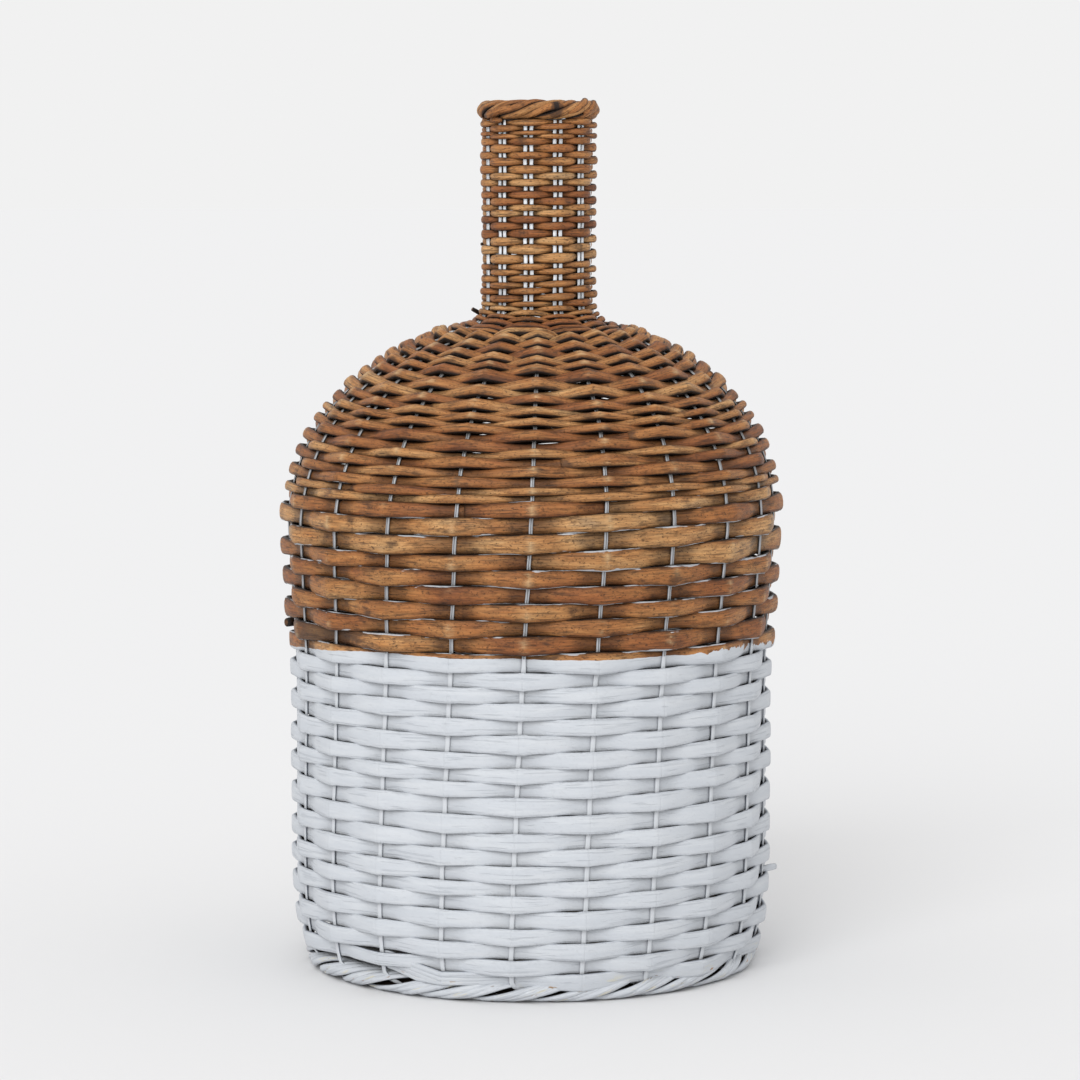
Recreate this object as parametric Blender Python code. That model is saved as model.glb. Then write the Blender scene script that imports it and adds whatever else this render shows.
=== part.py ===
"""Wicker bottle vase: willow rods woven over steel wire stakes, the lower half painted white.

Metres, +Z up, origin at the middle of the resting plane, front towards -Y.
Twenty-one wire stakes stand on a twisted foot border, run up the wall and over the dome, and go in pairs
up the neck. Willow rods wind round them in one climbing spiral, over one stake and behind the next. The
odd number of stakes (and of neck groups) makes each row alternate with the row below it.
"""

import math

import bmesh
import bpy
from mathutils import Vector

MM = 0.001

# Overall form: the radii are those of the surface that the wire stakes lie in
FOOT_WALL_RADIUS = 137 * MM
WALL_RADIUS = 139 * MM
BELLY_RADIUS = 145 * MM
NECK_RADIUS = 29.2 * MM
WALL_START_HEIGHT = 31 * MM
WALL_LOW_HEIGHT = 58 * MM
WALL_HIGH_HEIGHT = 195 * MM
BELLY_HEIGHT = 266 * MM
DOME_RISE = 120 * MM
NECK_LENGTH = 131 * MM
NECK_FILLET_RADIUS = 20 * MM
NECK_OFFSET = 4.5 * MM
DOME_STEPS = 7
FILLET_STEPS = 4

# Wire stakes
STAKES = 21
WIRE_RADIUS = 1.1 * MM
STAKE_LEAN_ANGLE = math.radians(4.5)
STAKE_TAIL_RADIUS = 123 * MM
STAKE_BEND_SIZE = 6 * MM
PAIRS_BEFORE_SINGLE = 6
NECK_GROUPS = 11
NECK_FIRST_GROUP_ANGLE = math.radians(-11.1)
PAIR_HALF_SPACING = 1.5 * MM
PAIRING_START_RADIUS = 56 * MM

# Woven rods, band by band from the foot: rows, rods, thickness through the wall
WHITE_ROWS = 20
WHITE_RODS = 8
NATURAL_ROWS = 9
NATURAL_RODS = 4
THICK_ROD_THICKNESS = 4.3 * MM
SHOULDER_ROWS = 26
SHOULDER_RODS = 7
SHOULDER_ROD_THICKNESS = 3.5 * MM
NECK_ROWS = 35
NECK_RODS = 6
NECK_ROD_THICKNESS = 2.4 * MM
ROD_SWELL_SHARE = 0.2
PAINT_HEIGHT = 200 * MM
THICK_ROD_TOP_RISE = 21 * MM

# Rim and foot borders, each three strands laid round each other
BORDER_STRANDS = 3
RIM_STRAND_RADIUS = 2.6 * MM
RIM_TWISTS = 4
RIM_STEPS_PER_TWIST = 8
FOOT_STRAND_RADIUS = 5 * MM
FOOT_STRAND_SIDES = 6
FOOT_RING_RADIUS = 128.5 * MM
FOOT_TWISTS = STAKES // BORDER_STRANDS
FOOT_STEPS_PER_TWIST = 6
FOOT_FLAT_DEPTH = 1 * MM

# Woven base inside the foot border
STICKS_PER_LAYER = 3
STICK_RADIUS = 2.5 * MM
STICK_SPACING = 7 * MM
STICK_END_RADIUS = 128 * MM
STICK_CROSSING_LENGTH = 11 * MM
STICK_LEVEL_RADIUS = 33 * MM
BASE_WEAVERS = 2
BASE_WEAVER_RADIUS = 2.7 * MM
BASE_START_RADIUS = 36 * MM
BASE_END_RADIUS = 108 * MM
BASE_ROWS = 11

# Clearances
GAP = 0.35 * MM
ROW_GAP = 0.5 * MM
ROD_END_GAP = 2 * MM
STRAND_CLEARANCE_SHARE = 1.13
CUTTER_OVERRUN = 20 * MM
WELD_DISTANCE = 0.01 * MM

# Passes of the searches that halve a range, and of those that settle
HALVING_PASSES = 50
SETTLING_PASSES = 8

NATURAL_WILLOW = (0.30, 0.13, 0.045, 1.0)
WHITE_PAINT = (0.63, 0.65, 0.68, 1.0)
BRIGHT_STEEL = (0.55, 0.56, 0.57, 1.0)


def clear_scene():
    for thing in list(bpy.data.objects):
        bpy.data.objects.remove(thing, do_unlink=True)


def make_collection(name):
    collection = bpy.data.collections.new(name)
    bpy.context.scene.collection.children.link(collection)
    return collection


def make_material(name, colour, roughness, metallic):
    material = bpy.data.materials.new(name)
    material.use_nodes = True
    shader = material.node_tree.nodes["Principled BSDF"]
    shader.inputs["Base Color"].default_value = colour
    shader.inputs["Roughness"].default_value = roughness
    shader.inputs["Metallic"].default_value = metallic
    material.diffuse_color = colour
    return material


def blend(value, start, end):
    """0 before start, 1 after end and a smooth rise between them."""
    share = min(max((value - start) / (end - start), 0.0), 1.0)
    return share * share * (3 - 2 * share)


# The wall's profile, in which every stake lies


def dome_point(angle):
    radius = BELLY_RADIUS * math.cos(angle)
    height = BELLY_HEIGHT + DOME_RISE * math.sin(angle)
    return radius, height


def dome_normal(angle):
    across = math.cos(angle) / BELLY_RADIUS
    up = math.sin(angle) / DOME_RISE
    size = math.hypot(across, up)
    return across / size, up / size


def fillet_touch_angle():
    """Where a circle of the fillet's radius touches both the dome and the neck."""
    low, high = 0.0, math.pi / 2
    for _ in range(HALVING_PASSES):
        middle = (low + high) / 2
        centre = dome_point(middle)[0] + NECK_FILLET_RADIUS * dome_normal(middle)[0]
        if centre > NECK_RADIUS + NECK_FILLET_RADIUS:
            low = middle
        else:
            high = middle
    return low


def full_height():
    return BELLY_HEIGHT + DOME_RISE + NECK_LENGTH


def rim_rope_radius():
    return strand_orbit(RIM_STRAND_RADIUS) + RIM_STRAND_RADIUS


def wall_profile():
    """(radius, height) of each corner, from the foot to the underside of the rim border."""
    touch = fillet_touch_angle()
    radius, height = dome_point(touch)
    across, up = dome_normal(touch)
    centre = (radius + NECK_FILLET_RADIUS * across, height + NECK_FILLET_RADIUS * up)
    profile = [
        (FOOT_WALL_RADIUS, WALL_START_HEIGHT),
        (WALL_RADIUS, WALL_LOW_HEIGHT),
        (WALL_RADIUS, WALL_HIGH_HEIGHT),
        ((WALL_RADIUS + BELLY_RADIUS) / 2, (WALL_HIGH_HEIGHT + BELLY_HEIGHT) / 2),
    ]
    for step in range(DOME_STEPS + 1):
        profile.append(dome_point(touch * step / DOME_STEPS))
    start = math.atan2(-up, -across)
    turn = -(math.pi + start)
    for step in range(1, FILLET_STEPS + 1):
        angle = start + turn * step / FILLET_STEPS
        point_radius = centre[0] + NECK_FILLET_RADIUS * math.cos(angle)
        point_height = centre[1] + NECK_FILLET_RADIUS * math.sin(angle)
        profile.append((point_radius, point_height))
    profile.append((NECK_RADIUS, full_height() - 2 * rim_rope_radius() - GAP))
    return profile


class Wall:
    """Looks up the profile by the length along it."""

    def __init__(self):
        self.points = wall_profile()
        self.lengths = [0.0]
        for start, end in zip(self.points, self.points[1:]):
            self.lengths.append(self.lengths[-1] + math.dist(start, end))
        self.total = self.lengths[-1]
        self.neck_start = self.lengths[-2]
        slopes = [self.direction(index) for index in range(len(self.points) - 1)]
        self.slopes = [slopes[0]]
        for before, after in zip(slopes, slopes[1:]):
            self.slopes.append((before + after) / 2)
        self.slopes.append(slopes[-1])

    def direction(self, index):
        start, end = self.points[index], self.points[index + 1]
        return math.atan2(end[1] - start[1], end[0] - start[0])

    def find(self, length):
        index = 0
        while index < len(self.points) - 2 and length > self.lengths[index + 1]:
            index += 1
        share = (length - self.lengths[index]) / (self.lengths[index + 1] - self.lengths[index])
        return index, share

    def at(self, length):
        """(radius, height, slope) at a length along the profile."""
        index, share = self.find(length)
        start, end = self.points[index], self.points[index + 1]
        radius = start[0] + share * (end[0] - start[0])
        height = start[1] + share * (end[1] - start[1])
        slope = self.slopes[index] + share * (self.slopes[index + 1] - self.slopes[index])
        return radius, height, slope

    def length_where(self, reached):
        """The first length at which reached(radius, height) is true, found by halving."""
        index = 0
        while not reached(*self.points[index + 1]):
            index += 1
        low, high = self.lengths[index], self.lengths[index + 1]
        for _ in range(HALVING_PASSES):
            middle = (low + high) / 2
            radius, height, _ = self.at(middle)
            if reached(radius, height):
                high = middle
            else:
                low = middle
        return high


def neck_shift(height):
    """The neck stands a little to one side of the body: the axis bends over the dome."""
    neck_height = BELLY_HEIGHT + DOME_RISE
    share = (height - BELLY_HEIGHT) / (neck_height - BELLY_HEIGHT)
    return NECK_OFFSET * min(max(share, 0.0), 1.0)


def place(angle, radius, height):
    """Angle 0 is the front, and grows to the right."""
    x = radius * math.sin(angle) + neck_shift(height)
    y = -radius * math.cos(angle)
    return Vector((x, y, height))


# Stakes


def neck_group(stake):
    """(group, side) of a stake in the neck: side is -1 or 1 in a pair and 0 for the single one."""
    order = (stake + 1) % STAKES
    single = 2 * PAIRS_BEFORE_SINGLE
    if order < single:
        return order // 2, 1 if order % 2 else -1
    if order == single:
        return PAIRS_BEFORE_SINGLE, 0
    rest = order - single - 1
    return PAIRS_BEFORE_SINGLE + 1 + rest // 2, 1 if rest % 2 else -1


def neck_angle(stake, radius):
    group, side = neck_group(stake)
    centre = NECK_FIRST_GROUP_ANGLE + group * 2 * math.pi / NECK_GROUPS
    return centre + side * PAIR_HALF_SPACING / radius


def body_angle(stake, height):
    """Below the belly the stakes lean a little to the left."""
    order = (stake + 1) % STAKES - 1
    lean = STAKE_LEAN_ANGLE * min((BELLY_HEIGHT - height) / BELLY_HEIGHT, 1.0)
    return order * 2 * math.pi / STAKES - max(lean, 0.0)


def stake_angle(stake, wall, length):
    radius, height, _ = wall.at(length)
    share = blend(length, wall.pairing_start, wall.neck_start)
    body = body_angle(stake, height)
    return body + share * (neck_angle(stake, radius) - body)


def stake_corner(stake, wall, index):
    """Where a stake passes a corner of the profile. Between the corners it runs straight."""
    radius, height = wall.points[index]
    return place(stake_angle(stake, wall, wall.lengths[index]), radius, height)


def stake_point(stake, wall, length):
    index, share = wall.find(length)
    return stake_corner(stake, wall, index).lerp(stake_corner(stake, wall, index + 1), share)


def stake_path(stake, wall):
    tail_height = foot_top_height() + 2 * GAP + WIRE_RADIUS
    angle = body_angle(stake, wall.points[0][1])
    points = [
        place(angle, STAKE_TAIL_RADIUS, tail_height),
        place(angle, FOOT_WALL_RADIUS - STAKE_BEND_SIZE, tail_height),
    ]
    points += [stake_corner(stake, wall, index) for index in range(len(wall.points))]
    return points


# Woven rods


def bands():
    """(name, rows, rods, thickness) from the foot up."""
    return (
        ("white_weaver", WHITE_ROWS, WHITE_RODS, THICK_ROD_THICKNESS),
        ("natural_weaver", NATURAL_ROWS, NATURAL_RODS, THICK_ROD_THICKNESS),
        ("shoulder_weaver", SHOULDER_ROWS, SHOULDER_RODS, SHOULDER_ROD_THICKNESS),
        ("neck_weaver", NECK_ROWS, NECK_RODS, NECK_ROD_THICKNESS),
    )


class Weave:
    """Stacks the rows: each lies on the one below, half a rod's height plus half a rod's height higher."""

    def __init__(self, wall):
        self.wall = wall
        limits = (
            wall.lengths[0],
            wall.length_where(lambda radius, height: height > PAINT_HEIGHT),
            wall.length_where(lambda radius, height: height > BELLY_HEIGHT + THICK_ROD_TOP_RISE),
            wall.pairing_start,
            wall.total,
        )
        self.heights = []
        self.row_ends = []
        rows_below = 0
        for (_, rows, _, _), low, high in zip(bands(), limits, limits[1:]):
            rows_below += rows
            self.row_ends.append(rows_below)
            self.heights.append((high - low) / rows - ROW_GAP)

    def band_at(self, turns):
        for index, end in enumerate(self.row_ends):
            if turns < end:
                return index
        return len(self.row_ends) - 1

    def length_at(self, turns):
        length = self.wall.lengths[0] + self.heights[0] / 2
        while turns >= 1:
            above = self.heights[self.band_at(turns)]
            below = self.heights[self.band_at(turns - 1)]
            length += (above + below) / 2 + ROW_GAP
            turns -= 1
        return length + (self.heights[0] + ROW_GAP) * turns


def swell(outside):
    """A rod's size as a share of its mean: it is stout where it passes outside a stake, and slender inside."""
    return 1 + ROD_SWELL_SHARE if outside else 1 - ROD_SWELL_SHARE


def weave_offsets(radius, step, half_width, thickness):
    """How far a rod's middle lies outside and inside the stakes' surface, where it passes one group of wires.

    A rod leaves the group at a slope, so that it needs more room than its own thickness. The slope comes
    from both offsets and the rod's swell, over the straight run to the next group, which also falls inwards
    by half a step.
    """
    run = 2 * radius * math.sin(step / 2)
    room = WIRE_RADIUS + GAP
    stout, slender = swell(True) * thickness / 2, swell(False) * thickness / 2
    growth = (stout - slender) / run
    outside, inside = stout + room, slender + room
    for _ in range(SETTLING_PASSES):
        crossing = (outside + inside) / run
        steep = crossing + growth + math.tan(step / 2)
        shallow = abs(crossing - math.tan(step / 2)) + growth
        outside = stout + half_width * steep + room * math.hypot(1, steep)
        inside = slender + half_width * shallow + room * math.hypot(1, shallow)
    return outside, inside


def beside(point, slope, offset):
    """A point moved square to the wall: outwards by offset, or inwards by a negative one."""
    axis = Vector((neck_shift(point.z), 0.0, point.z))
    outwards = (point - axis).normalized()
    return point + offset * (outwards * math.sin(slope) - Vector((0.0, 0.0, math.cos(slope))))


def is_outside(turn, stake, grouped):
    """Every second stake, or every second group of the neck, is passed on the outside."""
    if not grouped:
        return (turn * STAKES + stake) % 2 == 0
    group, _ = neck_group(stake)
    next_turn = stake == STAKES - 1
    return ((turn + next_turn) * NECK_GROUPS + group) % 2 == 0


def crossings(weave):
    """(band, point, swell) of each place where the climbing spiral passes a stake or a neck group."""
    wall = weave.wall
    top = wall.total - weave.heights[-1] / 2 - ROW_GAP
    found = []
    for crossing in range(weave.row_ends[-1] * STAKES):
        turn, stake = divmod(crossing, STAKES)
        turns = crossing / STAKES
        length = weave.length_at(turns)
        if length > top:
            break
        band = weave.band_at(turns)
        thickness = bands()[band][-1]
        radius, _, slope = wall.at(length)
        grouped = length > wall.pairing_start
        point = stake_point(stake, wall, length)
        step = 2 * math.pi / STAKES
        half_width = 0.0
        if grouped:
            step = 2 * math.pi / NECK_GROUPS - 2 * PAIR_HALF_SPACING / radius
        if length > wall.neck_start:
            _, side = neck_group(stake)
            if side == 1:
                continue
            if side == -1:
                other = stake_point((stake + 1) % STAKES, wall, length)
                point = (point + other) / 2
            step = 2 * math.pi / NECK_GROUPS
            half_width = PAIR_HALF_SPACING
        outside, inside = weave_offsets(radius, step, half_width, thickness)
        over = is_outside(turn, stake, grouped)
        offset = outside if over else -inside
        found.append((band, beside(point, slope, offset), swell(over)))
    return found


def rod_paths(weave):
    """Cuts the spiral into rods: (name, band, points, size at each point as a share)."""
    places = crossings(weave)
    paths = []
    for band, (name, _, rods, _) in enumerate(bands()):
        members = [index for index, (found, _, _) in enumerate(places) if found == band]
        for rod in range(rods):
            first = members[len(members) * rod // rods]
            last = members[len(members) * (rod + 1) // rods - 1]
            points = [places[index][1] for index in range(first, last + 1)]
            swells = [places[index][2] for index in range(first, last + 1)]
            if last + 1 < len(places):
                next_band, next_point, next_swell = places[last + 1]
                run = next_point - points[-1]
                points.append(points[-1] + run * (1 - ROD_END_GAP / run.length))
                swells.append(next_swell * min(weave.heights[next_band] / weave.heights[band], 1.0))
            paths.append((f"{name}_{rod + 1:02d}", band, points, swells))
    return paths


# Borders


def strand_orbit(strand_radius):
    """The radius at which three strands lie round their common middle, just clear of each other."""
    return (2 * strand_radius + GAP) / math.sqrt(3) * STRAND_CLEARANCE_SHARE


def foot_rope_radius():
    return strand_orbit(FOOT_STRAND_RADIUS) + FOOT_STRAND_RADIUS


def foot_top_height():
    """The strands are six-sided, and a flat side is up at each crest."""
    flat_side = FOOT_STRAND_RADIUS * (1 - math.cos(math.pi / FOOT_STRAND_SIDES))
    return 2 * foot_rope_radius() - FOOT_FLAT_DEPTH - flat_side


def border_path(strand, start_angle, start_lay, ring, height, strand_radius, twists, steps_per_twist):
    """One strand of a rope laid in a ring. At the start angle the first strand is at start_lay in the rope."""
    orbit = strand_orbit(strand_radius)
    steps = twists * steps_per_twist
    full_turn = 2 * math.pi - ROD_END_GAP / ring
    points = []
    for step in range(steps + 1):
        turned = full_turn * step / steps
        lay = start_lay + turned * twists + strand * 2 * math.pi / BORDER_STRANDS
        radius = ring + orbit * math.cos(lay)
        points.append(place(start_angle + turned, radius, height + orbit * math.sin(lay)))
    return points


def make_rim(vase, willow):
    """A crossing of the strands lies on the wire tips of the first pair."""
    height = full_height() - rim_rope_radius()
    for strand in range(BORDER_STRANDS):
        path = border_path(
            strand,
            NECK_FIRST_GROUP_ANGLE,
            -math.pi / 2,
            NECK_RADIUS,
            height,
            RIM_STRAND_RADIUS,
            RIM_TWISTS,
            RIM_STEPS_PER_TWIST,
        )
        tube(f"rim_strand_{strand + 1}", path, willow, vase, radius=RIM_STRAND_RADIUS)


def make_foot(wall, vase, guides, white):
    """Each stake's tail lies over the crest of a strand. The strands are cut flat at the resting plane."""
    cutter = make_floor_cutter(guides)
    height = foot_rope_radius() - FOOT_FLAT_DEPTH
    for strand in range(BORDER_STRANDS):
        path = border_path(
            strand,
            body_angle(0, wall.points[0][1]),
            math.pi / 2,
            FOOT_RING_RADIUS,
            height,
            FOOT_STRAND_RADIUS,
            FOOT_TWISTS,
            FOOT_STEPS_PER_TWIST,
        )
        name = f"foot_strand_{strand + 1}"
        radius = FOOT_STRAND_RADIUS
        rod = tube(name, path, white, vase, radius=radius, sides=FOOT_STRAND_SIDES)
        cut_flat(rod, cutter, vase)


# Base


def spoke_phase(wall):
    """Puts the base sticks' ends half way between the stakes' tails."""
    slots = math.lcm(STAKES, 4 * STICKS_PER_LAYER)
    return body_angle(0, wall.points[0][1]) + math.pi / slots


def stick_path(layer, index, wall, level):
    spokes = 4 * STICKS_PER_LAYER
    place_in_layer = index - (STICKS_PER_LAYER - 1) / 2
    fan = place_in_layer * 2 * math.pi / spokes
    turned = spoke_phase(wall) + layer * math.pi / 2
    rise = (STICK_RADIUS + GAP / 2) * (1 if layer else -1)
    side = place_in_layer * STICK_SPACING
    half = [
        (STICK_END_RADIUS * math.cos(fan), STICK_END_RADIUS * math.sin(fan), level),
        (STICK_LEVEL_RADIUS * math.cos(fan), STICK_LEVEL_RADIUS * math.sin(fan), level),
        (STICK_CROSSING_LENGTH, side, level + rise),
    ]
    flat = half + [(-x, y, z) for x, y, z in reversed(half)]
    cosine, sine = math.cos(turned), math.sin(turned)
    return [Vector((x * cosine - y * sine, x * sine + y * cosine, z)) for x, y, z in flat]


def base_weaver_path(weaver, wall, level):
    spokes = 4 * STICKS_PER_LAYER
    pitch = (BASE_END_RADIUS - BASE_START_RADIUS) / BASE_ROWS
    crossing_count = BASE_ROWS * spokes // BASE_WEAVERS
    points = []
    for crossing in range(crossing_count):
        turns = crossing / spokes
        radius = BASE_START_RADIUS + pitch * (BASE_WEAVERS * turns + weaver)
        run = 2 * radius * math.sin(math.pi / spokes)
        room = STICK_RADIUS + GAP
        offset = BASE_WEAVER_RADIUS + room
        for _ in range(SETTLING_PASSES):
            offset = BASE_WEAVER_RADIUS + room * math.hypot(1, 2 * offset / run)
        side = 1 if (crossing + weaver) % 2 else -1
        angle = spoke_phase(wall) + crossing * 2 * math.pi / spokes
        points.append(
            Vector((radius * math.cos(angle), radius * math.sin(angle), level + side * offset))
        )
    return points


def make_base(wall, vase, willow):
    """Two crossed layers of sticks, level with each other outside the crossing, and two chasing weavers."""
    level = foot_top_height() + GAP + STICK_RADIUS
    for layer in range(2):
        for index in range(STICKS_PER_LAYER):
            name = f"base_stick_{layer * STICKS_PER_LAYER + index + 1}"
            tube(name, stick_path(layer, index, wall, level), willow, vase, radius=STICK_RADIUS)
    for weaver in range(BASE_WEAVERS):
        name = f"base_weaver_{weaver + 1}"
        path = base_weaver_path(weaver, wall, level)
        tube(name, path, willow, vase, radius=BASE_WEAVER_RADIUS)


# Objects


def tube(name, points, material, collection, radius=None, section=None, sides=4, swells=None):
    """A rod or wire along a path, round or with its own section, as a closed curve object."""
    data = bpy.data.curves.new(name, "CURVE")
    data.dimensions = "3D"
    data.use_fill_caps = True
    if section:
        data.bevel_mode = "OBJECT"
        data.bevel_object = section
        data.twist_mode = "Z_UP"
    else:
        data.bevel_depth = radius
        data.bevel_resolution = (sides - 4) // 2
    spline = data.splines.new("POLY")
    spline.points.add(len(points) - 1)
    for control, point, size in zip(spline.points, points, swells or [1] * len(points)):
        control.co = (*point, 1.0)
        control.radius = size
    data.materials.append(material)
    rod = bpy.data.objects.new(name, data)
    collection.objects.link(rod)
    return rod


def rod_section(name, across, up, guides):
    """A four-sided section, its corners in, out, up and down."""
    data = bpy.data.curves.new(name, "CURVE")
    data.dimensions = "2D"
    spline = data.splines.new("POLY")
    corners = ((across / 2, 0.0), (0.0, -up / 2), (-across / 2, 0.0), (0.0, up / 2))
    spline.points.add(len(corners) - 1)
    for control, (x, y) in zip(spline.points, corners):
        control.co = (x, y, 0.0, 1.0)
    spline.use_cyclic_u = True
    guide = bpy.data.objects.new(name, data)
    guide.hide_render = True
    guide.display_type = "WIRE"
    guides.objects.link(guide)
    return guide


def cut_flat(rod, cutter, collection):
    """Turns a curve into a mesh and cuts it with the cutter."""
    graph = bpy.context.evaluated_depsgraph_get()
    mesh = bpy.data.meshes.new_from_object(rod.evaluated_get(graph))
    name = rod.name
    place_matrix = rod.matrix_world.copy()
    bpy.data.objects.remove(rod, do_unlink=True)
    weld_caps(mesh)
    cut = bpy.data.objects.new(name, mesh)
    cut.matrix_world = place_matrix
    collection.objects.link(cut)
    boolean = cut.modifiers.new("resting_flat", "BOOLEAN")
    boolean.operation = "DIFFERENCE"
    boolean.solver = "EXACT"
    boolean.object = cutter
    return cut


def weld_caps(mesh):
    shape = bmesh.new()
    shape.from_mesh(mesh)
    bmesh.ops.remove_doubles(shape, verts=shape.verts, dist=WELD_DISTANCE)
    bmesh.ops.recalc_face_normals(shape, faces=shape.faces)
    shape.to_mesh(mesh)
    shape.free()


def make_floor_cutter(guides):
    """A slab whose top is the resting plane."""
    half_side = FOOT_RING_RADIUS + 2 * foot_rope_radius() + CUTTER_OVERRUN
    bpy.ops.mesh.primitive_cube_add(size=1, location=(0, 0, -half_side))
    cutter = bpy.context.object
    cutter.name = "floor_cutter"
    cutter.scale = (2 * half_side, 2 * half_side, 2 * half_side)
    cutter.hide_render = True
    cutter.display_type = "WIRE"
    for owner in list(cutter.users_collection):
        owner.objects.unlink(cutter)
    guides.objects.link(cutter)
    return cutter


def main():
    clear_scene()
    vase = make_collection("wicker_bottle_vase")
    guides = make_collection("guides")
    willow = make_material("natural_willow", NATURAL_WILLOW, 0.6, 0.0)
    white = make_material("white_painted_willow", WHITE_PAINT, 0.55, 0.0)
    steel = make_material("stake_steel", BRIGHT_STEEL, 0.35, 1.0)

    wall = Wall()
    wall.pairing_start = wall.length_where(
        lambda radius, height: height > BELLY_HEIGHT and radius < PAIRING_START_RADIUS
    )
    for stake in range(STAKES):
        tube(f"stake_{stake + 1:02d}", stake_path(stake, wall), steel, vase, radius=WIRE_RADIUS)

    weave = Weave(wall)
    sections = []
    for (name, _, _, thickness), up in zip(bands(), weave.heights):
        sections.append(rod_section(f"{name}_section", thickness, up, guides))
    for name, band, points, swells in rod_paths(weave):
        finish = white if band == 0 else willow
        tube(name, points, finish, vase, section=sections[band], swells=swells)

    make_rim(vase, willow)
    make_foot(wall, vase, guides, white)
    make_base(wall, vase, willow)


main()
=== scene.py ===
"""Looks of the wicker bottle vase: willow rods, wires, twisted borders and woven base around the frame.

Metres, +Z up, front towards -Y. Every weaver, wire and border strand of the frame is replaced by finer
ones that follow the same wall, the same stakes and the same climbing spiral.
"""

import math
from types import SimpleNamespace

import bpy
import numpy as np
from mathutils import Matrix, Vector


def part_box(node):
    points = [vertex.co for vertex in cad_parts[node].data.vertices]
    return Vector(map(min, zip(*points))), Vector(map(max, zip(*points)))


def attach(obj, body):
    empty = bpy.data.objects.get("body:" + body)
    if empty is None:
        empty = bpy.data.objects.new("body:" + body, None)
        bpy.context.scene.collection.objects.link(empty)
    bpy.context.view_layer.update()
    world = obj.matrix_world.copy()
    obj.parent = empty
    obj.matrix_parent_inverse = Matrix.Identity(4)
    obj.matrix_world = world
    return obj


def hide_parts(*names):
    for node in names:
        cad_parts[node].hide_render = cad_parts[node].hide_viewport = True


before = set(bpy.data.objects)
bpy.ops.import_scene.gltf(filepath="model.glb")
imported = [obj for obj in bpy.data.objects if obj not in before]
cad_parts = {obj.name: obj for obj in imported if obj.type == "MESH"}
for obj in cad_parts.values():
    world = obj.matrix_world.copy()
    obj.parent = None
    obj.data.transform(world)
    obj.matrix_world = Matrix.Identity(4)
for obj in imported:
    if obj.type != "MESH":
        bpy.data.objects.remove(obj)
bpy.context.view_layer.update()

MM = 0.001
DEG = math.radians(1)
TURN = 2 * math.pi
SEED = 11

# Wall, in which the wires lie: the radii of its lower part, and their heights
WALL_RADII = MM * np.array((134, 137, 139.4, 140.4, 140.2, 140, 142.6))
WALL_HEIGHTS = MM * np.array((12, 22, 42, 70, 130, 185, 228))
BELLY_RADIUS = 145 * MM
BELLY_HEIGHT = 266 * MM
DOME_RISE = 120 * MM
DOME_FULLNESS = 2.08
DOME_STEPS = 24
NECK_RADIUS = 30.6 * MM
NECK_FILLET_RADIUS = 17 * MM
FILLET_STEPS = 12
HALVINGS = 50
NECK_OFFSET = 4.5 * MM
WALL_TOP_HEIGHT = 506 * MM
CORNER_CUTS = 3

# Wires: each shows two light strands side by side, with a dark line down the middle that the material
# draws: a painted dark reflection, also bumped in as a groove
STAKES = 21
STAKE_LEAN_ANGLE = 4.8 * DEG
STAKE_LEAN_POWER = 1.35
PAIRS_BEFORE_SINGLE = 6
NECK_GROUPS = 11
NECK_FIRST_GROUP_ANGLE = -11.1 * DEG
PAIR_HALF_SPACING = 1.8 * MM
PAIRING_START_RADIUS = 56 * MM
WIRE_HALF_WIDTH = 1.15 * MM
PAINTED_HALF_WIDTH = 1.45 * MM
WIRE_HALF_DEPTH = 0.7 * MM
WIRE_SIDES = 12
WIRE_FLATNESS = 2.6
WIRE_STEP = 3.5 * MM
WIRE_WANDER = 0.35 * MM
WIRE_WANDER_LENGTHS = (46 * MM, 23 * MM)
# Each wire ends in a tail that turns in under the foot: shares of its reach, from the tip
WIRE_TAIL_SHARES = (1.0, 0.7, 0.35)
WIRE_TAIL_TURN = 9 * MM
WIRE_TAIL_DROP = 7 * MM
WIRE_TAIL_DEPTH = 5 * MM

# Rods, with one value or pair for each band from the foot
BANDS = ("white", "natural", "shoulder", "neck")
WEAVE_START_HEIGHT = 12.5 * MM
PAINT_HEIGHT = 198.3 * MM
THICK_ROD_TOP_HEIGHT = 287 * MM
PITCHES = (9.25 * MM, 9.5 * MM, 4.85 * MM, 3.7 * MM)
THICKNESSES = (3.5 * MM, 5 * MM, 4.5 * MM, 3.4 * MM)
# Width over a wire, and behind one, as a share of the row's height: at a band's foot and higher up
OUTSIDE_SHARES = ((1.15, 1.15), (1.2, 1.2), (1.18, 1.5), (1.24, 1.24))
INSIDE_SHARES = ((1.14, 1.14), (1.1, 1.1), (1.24, 1.45), (0.85, 0.85))
# How long a rod stays outside before it dives behind the next stake: 1 is not at all
DIVE_POWERS = ((1.5, 1.5), (1.45, 1.45), (1.4, 1.12), (1.5, 1.5))
# How softly it bends over a stake: 0 is a corner
BEND_SHARES = ((0.7, 0.7), (0.55, 0.55), (0.5, 0.34), (0.7, 0.7))
# Share of a band's rows over which the pairs above go from their first value to their second
CHANGING_SHARE = 0.6
# Rods are squeezed where neighbours cross between two stakes
SQUEEZE_SHARES = (0.09, 0.08, 0.1, 0.0)
# How flat the section is: 2 is an ellipse, and more is nearer to a box
FLATNESSES = (3.8, 2.5, 2.2, 2.1)
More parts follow.
